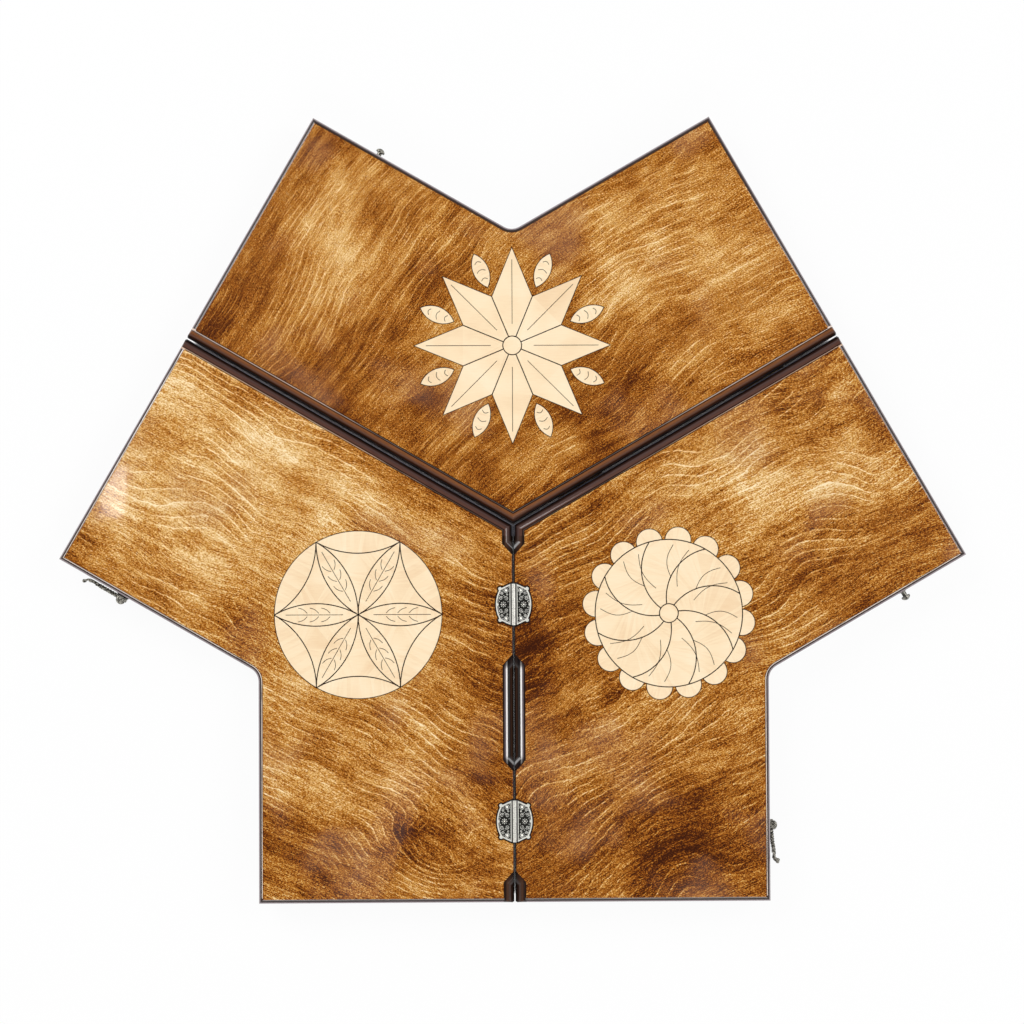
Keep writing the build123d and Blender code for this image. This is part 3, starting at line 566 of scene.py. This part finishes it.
BARREL = (1.2, 1.4)  # how far from a face hinge's middle line the tarnish of its barrel ends
BARREL_GROOVE = ((1.25, 1.5), (2.3, 2.5))


def make_metal(name, bright, dark, roughness, metallic, threshold=None):
    """Worn metal, bright in patches, or above the threshold if there is one.

    The threshold is a height above the outer faces, and only the face hinges have one.
    """
    shader = Shader(name)
    x, y, z = shader.position()
    blotch = shader.noise(x / 1.3, y / 1.3, z / 1.3, 3.0, 0.6)
    if threshold is None:
        wear_and_sheen = shader.smooth(blotch, -0.08, 0.06)
    else:
        height = z - (FACE_Z + threshold)
        wear_and_sheen = shader.smooth(height + blotch * 0.40, -0.01, 0.13)
        # Blackened grooves beside the barrel, and tarnish in spots along it
        beside = shader.math("ABSOLUTE", x)
        groove = shader.band(beside, *BARREL_GROOVE)
        tarnish = shader.smooth(shader.noise(x / 0.7, y / 0.7, 1.0, 2.0), 0.0, 0.14)
        tarnish = tarnish * (1.0 - shader.smooth(beside, *BARREL))
        wear_and_sheen = wear_and_sheen * (1.0 - groove) * (1.0 - tarnish * 0.55)
    colour = shader.mix(wear_and_sheen, dark, bright)
    grain = shader.noise(x / 0.25, y / 0.25, z / 0.25, 2.0)
    rough = shader.smooth(blotch + grain * 0.4, -0.5, 0.6) * 0.25 + roughness
    uneven = shader.bump(blotch + grain * 0.5, 0.05)
    return shader.finish(Base_Color=colour, Metallic=metallic, Roughness=rough, Normal=uneven)


def dress(name, material):
    """Gives a CAD node its material."""
    node = nodes[name]
    node.data.materials.clear()
    node.data.materials.append(material)


inlay_material = make_inlay_material()
field_material = make_field_material()
HINGE_RUBBED = 0.19  # height above the outer faces where the face hinges are rubbed bright
hinge_metal = make_metal("antique_nickel", (0.97, 0.95, 0.87), (0.018, 0.017, 0.014), 0.22, 0.4, HINGE_RUBBED)
hook_metal = make_metal("antique_pewter", (0.44, 0.42, 0.36), (0.014, 0.013, 0.010), 0.3, 0.6)
dark_metal = make_metal("blackened_pewter", (0.050, 0.046, 0.038), (0.008, 0.008, 0.006), 0.4, 0.4)
rim_metal = make_metal("satin_brass", (0.70, 0.52, 0.26), (0.50, 0.36, 0.17), 0.28, 1.0)
steel = make_metal("bright_steel", (0.72, 0.72, 0.71), (0.55, 0.55, 0.54), 0.2, 1.0)
ink_material = make_line_material("burnt_line", (0.030, 0.017, 0.010))
# Painted shade along the edges of the outer faces beside the seams and round the hinges
shade_line_material = make_line_material("painted_edge_shade", (0.020, 0.009, 0.005))

LIGHT_VENEER = ((0.55, 0.36, 0.17), (0.80, 0.60, 0.35))
DARK_VENEER = ((0.020, 0.009, 0.005), (0.075, 0.033, 0.015))
for tray, turn in TURNS.items():
    light_points = make_point_material(f"{tray}_light_points", turn, *LIGHT_VENEER)
    dark_points = make_point_material(f"{tray}_dark_points", turn, *DARK_VENEER)
    walls = make_wall_material(tray)
    dress(f"{tray}_tray_panel", make_panel_material(tray))
    dress(f"{tray}_tray_motif", inlay_material)
    dress(f"{tray}_tray_field", field_material)
    dress(f"{tray}_tray_light_points", light_points)
    dress(f"{tray}_tray_dark_points", dark_points)
    for name in nodes:
        if name.startswith(f"{tray}_tray_") and "_wall" in name:
            dress(name, walls)
for name in nodes:
    if name.startswith("face_hinge") and not name.endswith("pin"):
        dress(name, hinge_metal)
    elif name.startswith("rim_hinge") and name.endswith("leaf"):
        dress(name, rim_metal)
    elif name.endswith("pin") or name.endswith("screws"):
        dress(name, steel)
    elif name.endswith("plate"):
        dress(name, dark_metal)
    elif "hook" in name or "stud" in name:
        dress(name, hook_metal)


# Lines drawn on the outer faces: burnt lines in the inlays, and painted shade along the moulding's step, the
# seam lips and round the hinges
LINE_WIDTH = 0.6
LINE_LIFT = 0.035  # above the outer faces
VEIN_HALF = 0.24  # half the width of the lines inside an inlay
NEAR_SEAM = 20.0  # reach of the places counted as beside a seam
LEVEL = 0.005  # depth below the outer faces that still counts as on them
LEAST_MITRE = 0.42  # limits how far a line's corner runs out


def mesh_object(name, vertices, faces, material, body, slot, smooth=False):
    """Adds a piece, given in millimetres, that rides on a body."""
    mesh = bpy.data.meshes.new(name)
    mesh.from_pydata([Vector(v) * MM for v in vertices], [], faces)
    mesh.materials.append(material)
    for polygon in mesh.polygons:
        polygon.use_smooth = smooth
    mesh.update()
    made = bpy.data.objects.new(name, mesh)
    bpy.context.scene.collection.objects.link(made)
    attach(made, body)


def face_loops(name):
    """Outlines of a CAD node's flat upper face, each a closed run of points with the face on its left."""
    mesh = nodes[name].data
    keys = [(round(v.co.x / MM, 3), round(v.co.y / MM, 3)) for v in mesh.vertices]
    level = [v.co.z / MM > FACE_Z - LEVEL for v in mesh.vertices]
    mesh.calc_loop_triangles()
    sides = {}
    for triangle in mesh.loop_triangles:
        a, b, c = triangle.vertices
        if level[a] and level[b] and level[c]:
            for start, end in ((a, b), (b, c), (c, a)):
                sides[keys[start], keys[end]] = True
    # The outline is made of the sides that no two triangles share
    edges = {}
    for start, end in sides:
        if (end, start) not in sides and start != end:
            edges.setdefault(start, []).append(end)
    loops = []
    while edges:
        start = min(edges)
        loop = [start]
        here = start
        while True:
            ends = edges[here]
            towards = ends.pop()
            if not ends:
                del edges[here]
            here = towards
            if here == start or here not in edges:
                break
            loop.append(here)
        if len(loop) > 2:
            loops.append(loop)
    return loops


def ribbon(vertices, faces, path, inner, outer, closed):
    """Flat strip along a path, between two offsets to its right, which are negative on its left."""
    first = len(vertices)
    count = len(path)
    points = [Vector(p) for p in path]
    for index, point in enumerate(points):
        before = points[index - 1] if closed or index else None
        after = points[(index + 1) % count] if closed or index + 1 < count else None
        into = (point - before).normalized() if before is not None else None
        out = (after - point).normalized() if after is not None else None
        into = into or out
        out = out or into
        tangent = (into + out).normalized() if (into + out).length > 1e-6 else out
        normal = Vector((tangent.y, -tangent.x))
        stretch = 1.0 / max(LEAST_MITRE, normal.dot(Vector((out.y, -out.x))))
        for offset in (inner, outer):
            place = point + normal * offset * stretch
            vertices.append((place.x, place.y, FACE_Z + LINE_LIFT))
    for index in range(count if closed else count - 1):
        a = first + 2 * index
        b = first + 2 * ((index + 1) % count)
        faces.append((a, a + 1, b + 1, b))


def turned(point, angle):
    """Point turned about the origin, by an angle in degrees."""
    c, s = cos(radians(angle)), sin(radians(angle))
    return point[0] * c - point[1] * s, point[0] * s + point[1] * c


def seam_runs(loop):
    """The stretches of a panel's outline that lie beside a seam, or round a hinge in it."""
    close = []
    for x, y in loop:
        away = Vector((x, y - JUNCTION.y))
        views = [turned(away, turn) for turn in TURNS.values()]
        close.append(min(abs(side) for side, up in views if up < NEAR_SEAM) < NEAR_SEAM)
    first = close.index(False)
    runs, run = [], []
    for index in range(first, first + len(loop) + 1):
        if close[index % len(loop)]:
            run.append(loop[index % len(loop)])
        else:
            if len(run) > 1:
                runs.append(run)
            run = []
    return runs


def motif_centre(tray):
    """Middle of a tray's inlay."""
    angle = radians(90 + TURNS[tray])
    return Vector((MOTIF_DISTANCE * cos(angle), JUNCTION.y + MOTIF_DISTANCE * sin(angle)))


def bow(start, end, rise, steps=12):
    """Points along a shallow curve between two points, with its middle to the left of the straight line."""
    a, b = Vector(start), Vector(end)
    left = Vector((a.y - b.y, b.x - a.x)).normalized()
    return [tuple(a.lerp(b, i / steps) + left * (rise * sin(pi * i / steps))) for i in range(steps + 1)]


def star_veins():
    """A line down each ray of the star, and three across each leaf between them."""
    veins = []
    for index in range(8):
        veins.append([turned(p, 45 * index) for p in ((17, 0), (40, 0), (68, 0))])
        for radius, half in ((56, 2.6), (63, 3.6), (70, 2.6)):
            veins.append([turned(p, 45 * index + 22.5) for p in bow((radius, -half), (radius, half), -1.6)])
    return veins


def flower_veins():
    """A line down each petal, with curved ribs on both sides of it."""
    veins = []
    for index in range(6):
        angle = 60 * index
        veins.append([turned(p, angle) for p in ((12, 0), (34, 0), (57, 0))])
        for radius in (22, 31, 40):
            for side in (1, -1):
                rib = bow((radius, 1.2 * side), (radius + 7, 5.4 * side), 0.9 * side)
                veins.append([turned(p, angle) for p in rib])
    return veins


def whirl_veins():
    """Two curved lines in each blade of the whirl."""
    veins = []
    for index in range(8):
        for angle, start, end in ((12, 22, 52), (26, 28, 54)):
            veins.append([turned(p, 45 * index + angle) for p in bow((start, 0), (end, 0), 2.8 + start / 20)])
    return veins


VEINS = {"rear": star_veins, "left": flower_veins, "right": whirl_veins}

for tray, turn in TURNS.items():
    middle = motif_centre(tray)
    ink = ([], [])
    for vein in VEINS[tray]():
        path = [Vector(turned(p, turn)) + middle for p in vein]
        ribbon(*ink, path, -VEIN_HALF, VEIN_HALF, False)
    edge = ([], [])
    for loop in face_loops(f"{tray}_tray_panel"):
        if max((Vector(p) - middle).length for p in loop) < MOTIF_REACH:
            ribbon(*ink, loop, -LINE_WIDTH, 0.0, True)
        else:
            # Painted shade lines beside the seams and round the hinges
            for run in seam_runs(loop):
                ribbon(*edge, run, -LINE_WIDTH, 0.0, False)
    mesh_object(f"{tray}_inlay_lines", *ink, ink_material, f"{tray}_tray", "inlay")
    mesh_object(f"{tray}_edge_shade_lines", *edge, shade_line_material, f"{tray}_tray", "stained_wood")


# Cast relief on the face hinges
LEAF_ARC = 24.6  # radius of a leaf's bowed edge
LEAF_ARC_CENTRE = 10.7  # distance of its centre from the barrel, on the far side
BEAD_INSET = 1.75  # of the beads from that edge
ROSETTE = 8.0  # distance of the rosette from the barrel
PETAL_RADIUS = 1.75
RING = (5.8, 11.0, 1.75)  # x, y, radius
CORD_RADIUS = 0.24
SCROLLS = (  # x, y, radius, first direction in degrees, turns
    (5.9, 4.6, 1.75, 20, 1.5),
    (9.9, 4.9, 1.6, 160, -1.5),
    (8.9, 8.9, 1.25, 250, 1.4),
    (4.9, 7.9, 0.85, 90, -1.2),
)
SPRIGS = (  # x, y, direction in degrees
    (7.6, 6.9, 60),
    (4.3, 2.2, 120),
    (11.2, 2.4, 70),
    (8.6, 11.3, 20),
    (3.9, 13.6, 10),
)


def grid_faces(first, rows, sides):
    """Side faces between rings of points, each ring closed on itself."""
    faces = []
    for row in range(rows - 1):
        for side in range(sides):
            a = first + row * sides + side
            b = first + row * sides + (side + 1) % sides
            faces.append((a, b, b + sides, a + sides))
    return faces


def add_drop(solid, x, y, angle, length, width, height):
    """Low bead, round or drawn out, that stands on the leaf."""
    vertices, faces = solid
    first = len(vertices)
    sides, rings = 10, 3
    for ring in range(rings):
        rise = radians(90 * ring / rings)
        for side in range(sides):
            turn = radians(360 * side / sides)
            px, py = turned((length * cos(turn) * cos(rise), width * sin(turn) * cos(rise)), angle)
            vertices.append((x + px, y + py, height * sin(rise)))
    vertices.append((x, y, height))
    faces.append(tuple(range(first + sides - 1, first - 1, -1)))
    faces.extend(grid_faces(first, rings, sides))
    top = first + (rings - 1) * sides
    faces.extend((top + side, top + (side + 1) % sides, first + rings * sides) for side in range(sides))


def add_cord(solid, path, radius, closed=False):
    """Round cord, partly sunk, that follows a path."""
    vertices, faces = solid
    first = len(vertices)
    sides = 6
    count = len(path)
    points = [Vector(p) for p in path]
    for index, point in enumerate(points):
        before = points[index - 1] if closed or index else point
        after = points[(index + 1) % count] if closed or index + 1 < count else point
        out = (after - before).normalized()
        for side in range(sides):
            turn = radians(360 * side / sides)
            place = point + Vector((out.y, -out.x)) * (radius * cos(turn))
            vertices.append((place.x, place.y, radius * (sin(turn) + 0.4)))
    faces.extend(grid_faces(first, count, sides))
    last = first + (count - 1) * sides
    if closed:
        for side in range(sides):
            a, b = last + side, last + (side + 1) % sides
            faces.append((a, b, first + (side + 1) % sides, first + side))
    else:
        faces.append(tuple(range(first + sides - 1, first - 1, -1)))
        faces.append(tuple(range(last, last + sides)))


def spiral(x, y, radius, start, turns, steps=26):
    """Points of a scroll that winds in to its middle."""
    points = []
    for index in range(steps + 1):
        share = index / steps
        px, py = turned((radius * (1.0 - 0.82 * share), 0), start + 360 * turns * share)
        points.append((x + px, y + py))
    return points


def circle(x, y, radius, count):
    """Points round a circle."""
    angles = [2 * pi * index / count for index in range(count)]
    return [(x + radius * cos(angle), y + radius * sin(angle)) for angle in angles]


def leaf_relief():
    """Scrolls, rosette, rings and beads of one leaf. X leads away from the barrel, and Y along it."""
    solid = ([], [])
    for index in range(-7, 8):
        add_drop(solid, 3.0, 2.0 * index, 0, 0.34, 0.55, 0.40)
    for index in range(-8, 9):
        y = 1.42 * index
        bowed_edge = sqrt(LEAF_ARC**2 - y * y) - LEAF_ARC_CENTRE
        add_drop(solid, bowed_edge - BEAD_INSET, y, 0, 0.40, 0.40, 0.36)
    add_drop(solid, ROSETTE, 0, 0, 0.8, 0.8, 0.46)
    for index in range(8):
        px, py = turned((PETAL_RADIUS, 0), 45 * index)
        add_drop(solid, ROSETTE + px, py, 45 * index, 0.8, 0.36, 0.38)
    ring_x, ring_y, ring_radius = RING
    for side in (1, -1):
        add_cord(solid, circle(ring_x, side * ring_y, ring_radius, 14), CORD_RADIUS, True)
        for scroll in SCROLLS:
            add_cord(solid, [(px, side * py) for px, py in spiral(*scroll)], CORD_RADIUS)
        for x, y, angle in SPRIGS:
            add_drop(solid, x, side * y, side * angle, 0.75, 0.32, 0.36)
    return solid


for place, station in zip(("inner", "outer"), HINGE_STATIONS):
    for tray, side in (("left", -1), ("right", 1)):
        points, faces = leaf_relief()
        placed = [(side * x, JUNCTION.y - station + y, FACE_Z + z) for x, y, z in points]
        # The mirrored leaf's faces are turned to look outwards again
        if side < 0:
            faces = [tuple(reversed(face)) for face in faces]
        name = f"face_hinge_{place}_{tray}_relief"
        mesh_object(name, placed, faces, hinge_metal, f"{tray}_tray", "hinge_metal", True)


# Stage
FLOOR_HALF = 4.0
FLOOR_GLOW = 0.94  # share of its own white in the floor as the camera sees it
LENS = 71.5  # focal length, in millimetres like the sensor's width
SENSOR = 36.0
CAMERA_HEIGHT = 1.6  # above the outer faces
CAMERA_PLACE = (-0.0108, -0.0365)  # x and y
CAMERA_TILT = (1.196, -0.350, -0.292)  # in degrees
LIGHTS = (  # name, place, width and height, power in watts
    ("key", (-1.5, 1.3, 1.9), (1.5, 1.5), 42.0),
    ("fill", (1.7, 0.6, 1.9), (1.3, 1.3), 26.0),
    ("front", (0.1, -1.9, 1.7), (1.8, 1.0), 24.0),
    ("left_glint", (-0.678, 0.076, 1.96), (0.09, 0.04), 0.09),
    ("window_glint", (-0.207, -0.518, 1.96), (0.06, 0.24), 0.03),
)


def make_stage():
    """Pale floor that reads as white, with the object's shadow on it, and painted shade where ambient
    occlusion dims its glow near the object.
    """
    shader = Shader("pale_floor")
    path = shader.tree.nodes.new("ShaderNodeLightPath")
    seen = Wire(shader, path.outputs["Is Camera Ray"])
    for kind in ("Is Glossy Ray", "Is Transmission Ray"):
        seen = shader.math("MAXIMUM", seen, Wire(shader, path.outputs[kind]))
    matte = shader.node("ShaderNodeBsdfDiffuse", {"Color": (0.86, 0.86, 0.87, 1.0)})
    # Ambient occlusion dims the glow by the object and in the seams: painted shade
    openness = shader.node("ShaderNodeAmbientOcclusion", {"Distance": 0.05}, samples=8)
    ao_glow = shader.smooth(Wire(shader, openness.outputs["AO"]), 0.05, 0.30)
    glow = shader.node("ShaderNodeEmission", {"Color": (1.0, 1.0, 1.0, 1.0), "Strength": ao_glow})
    blend = shader.node(
        "ShaderNodeMixShader",
        {0: seen * FLOOR_GLOW, 1: Wire(shader, matte.outputs[0]), 2: Wire(shader, glow.outputs[0])},
    )
    output = shader.tree.nodes.new("ShaderNodeOutputMaterial")
    shader.tree.links.new(blend.outputs[0], output.inputs[0])
    mesh = bpy.data.meshes.new("floor")
    corners = [(x * FLOOR_HALF, y * FLOOR_HALF, 0.0) for x, y in ((-1, -1), (1, -1), (1, 1), (-1, 1))]
    mesh.from_pydata(corners, [], [(0, 1, 2, 3)])
    mesh.materials.append(shader.material)
    floor = bpy.data.objects.new("floor", mesh)
    bpy.context.scene.collection.objects.link(floor)


def make_world():
    """White room for the camera, and one that darkens towards the ceiling for all else."""
    world = bpy.data.worlds.new("studio")
    bpy.context.scene.world = world
    world.use_nodes = True
    tree = world.node_tree
    tree.nodes.clear()
    path = tree.nodes.new("ShaderNodeLightPath")
    direction = tree.nodes.new("ShaderNodeTexCoord")
    height = tree.nodes.new("ShaderNodeSeparateXYZ")
    tree.links.new(direction.outputs["Generated"], height.inputs[0])
    fade = tree.nodes.new("ShaderNodeMapRange")
    fade.interpolation_type = "SMOOTHSTEP"
    for socket, value in (("From Min", 0.05), ("From Max", 0.90), ("To Min", 0.95), ("To Max", 0.02)):
        fade.inputs[socket].default_value = value
    tree.links.new(height.outputs["Z"], fade.inputs["Value"])
    room = tree.nodes.new("ShaderNodeBackground")
    room.inputs["Color"].default_value = (1.0, 1.0, 1.0, 1.0)
    tree.links.new(fade.outputs[0], room.inputs["Strength"])
    backdrop = tree.nodes.new("ShaderNodeBackground")
    backdrop.inputs["Color"].default_value = (1.0, 1.0, 1.0, 1.0)
    backdrop.inputs["Strength"].default_value = 1.0
    blend = tree.nodes.new("ShaderNodeMixShader")
    tree.links.new(path.outputs["Is Camera Ray"], blend.inputs[0])
    tree.links.new(room.outputs[0], blend.inputs[1])
    tree.links.new(backdrop.outputs[0], blend.inputs[2])
    output = tree.nodes.new("ShaderNodeOutputWorld")
    tree.links.new(blend.outputs[0], output.inputs[0])


def make_light(name, place, size, power):
    """Soft box that faces the middle of the object."""
    lamp = bpy.data.lights.new(name, "AREA")
    lamp.shape = "RECTANGLE"
    lamp.size, lamp.size_y = size
    lamp.energy = power
    light = bpy.data.objects.new(name, lamp)
    light.location = place
    light.rotation_euler = (Vector((0, 0, 0)) - Vector(place)).to_track_quat("-Z", "Y").to_euler()
    bpy.context.scene.collection.objects.link(light)


def make_camera():
    """Above the set, a little to the left of its middle and in front of it, and very slightly tilted."""
    lens = bpy.data.cameras.new("camera")
    lens.sensor_width = SENSOR
    lens.lens = LENS
    lens.clip_start = 0.01
    lens.clip_end = 50.0
    camera = bpy.data.objects.new("camera", lens)
    camera.location = (*CAMERA_PLACE, FACE_Z * MM + CAMERA_HEIGHT)
    camera.rotation_euler = [radians(angle) for angle in CAMERA_TILT]
    bpy.context.scene.collection.objects.link(camera)
    bpy.context.scene.camera = camera


make_stage()
make_world()
for light in LIGHTS:
    make_light(*light)
make_camera()
bpy.context.scene.view_settings.view_transform = "Standard"
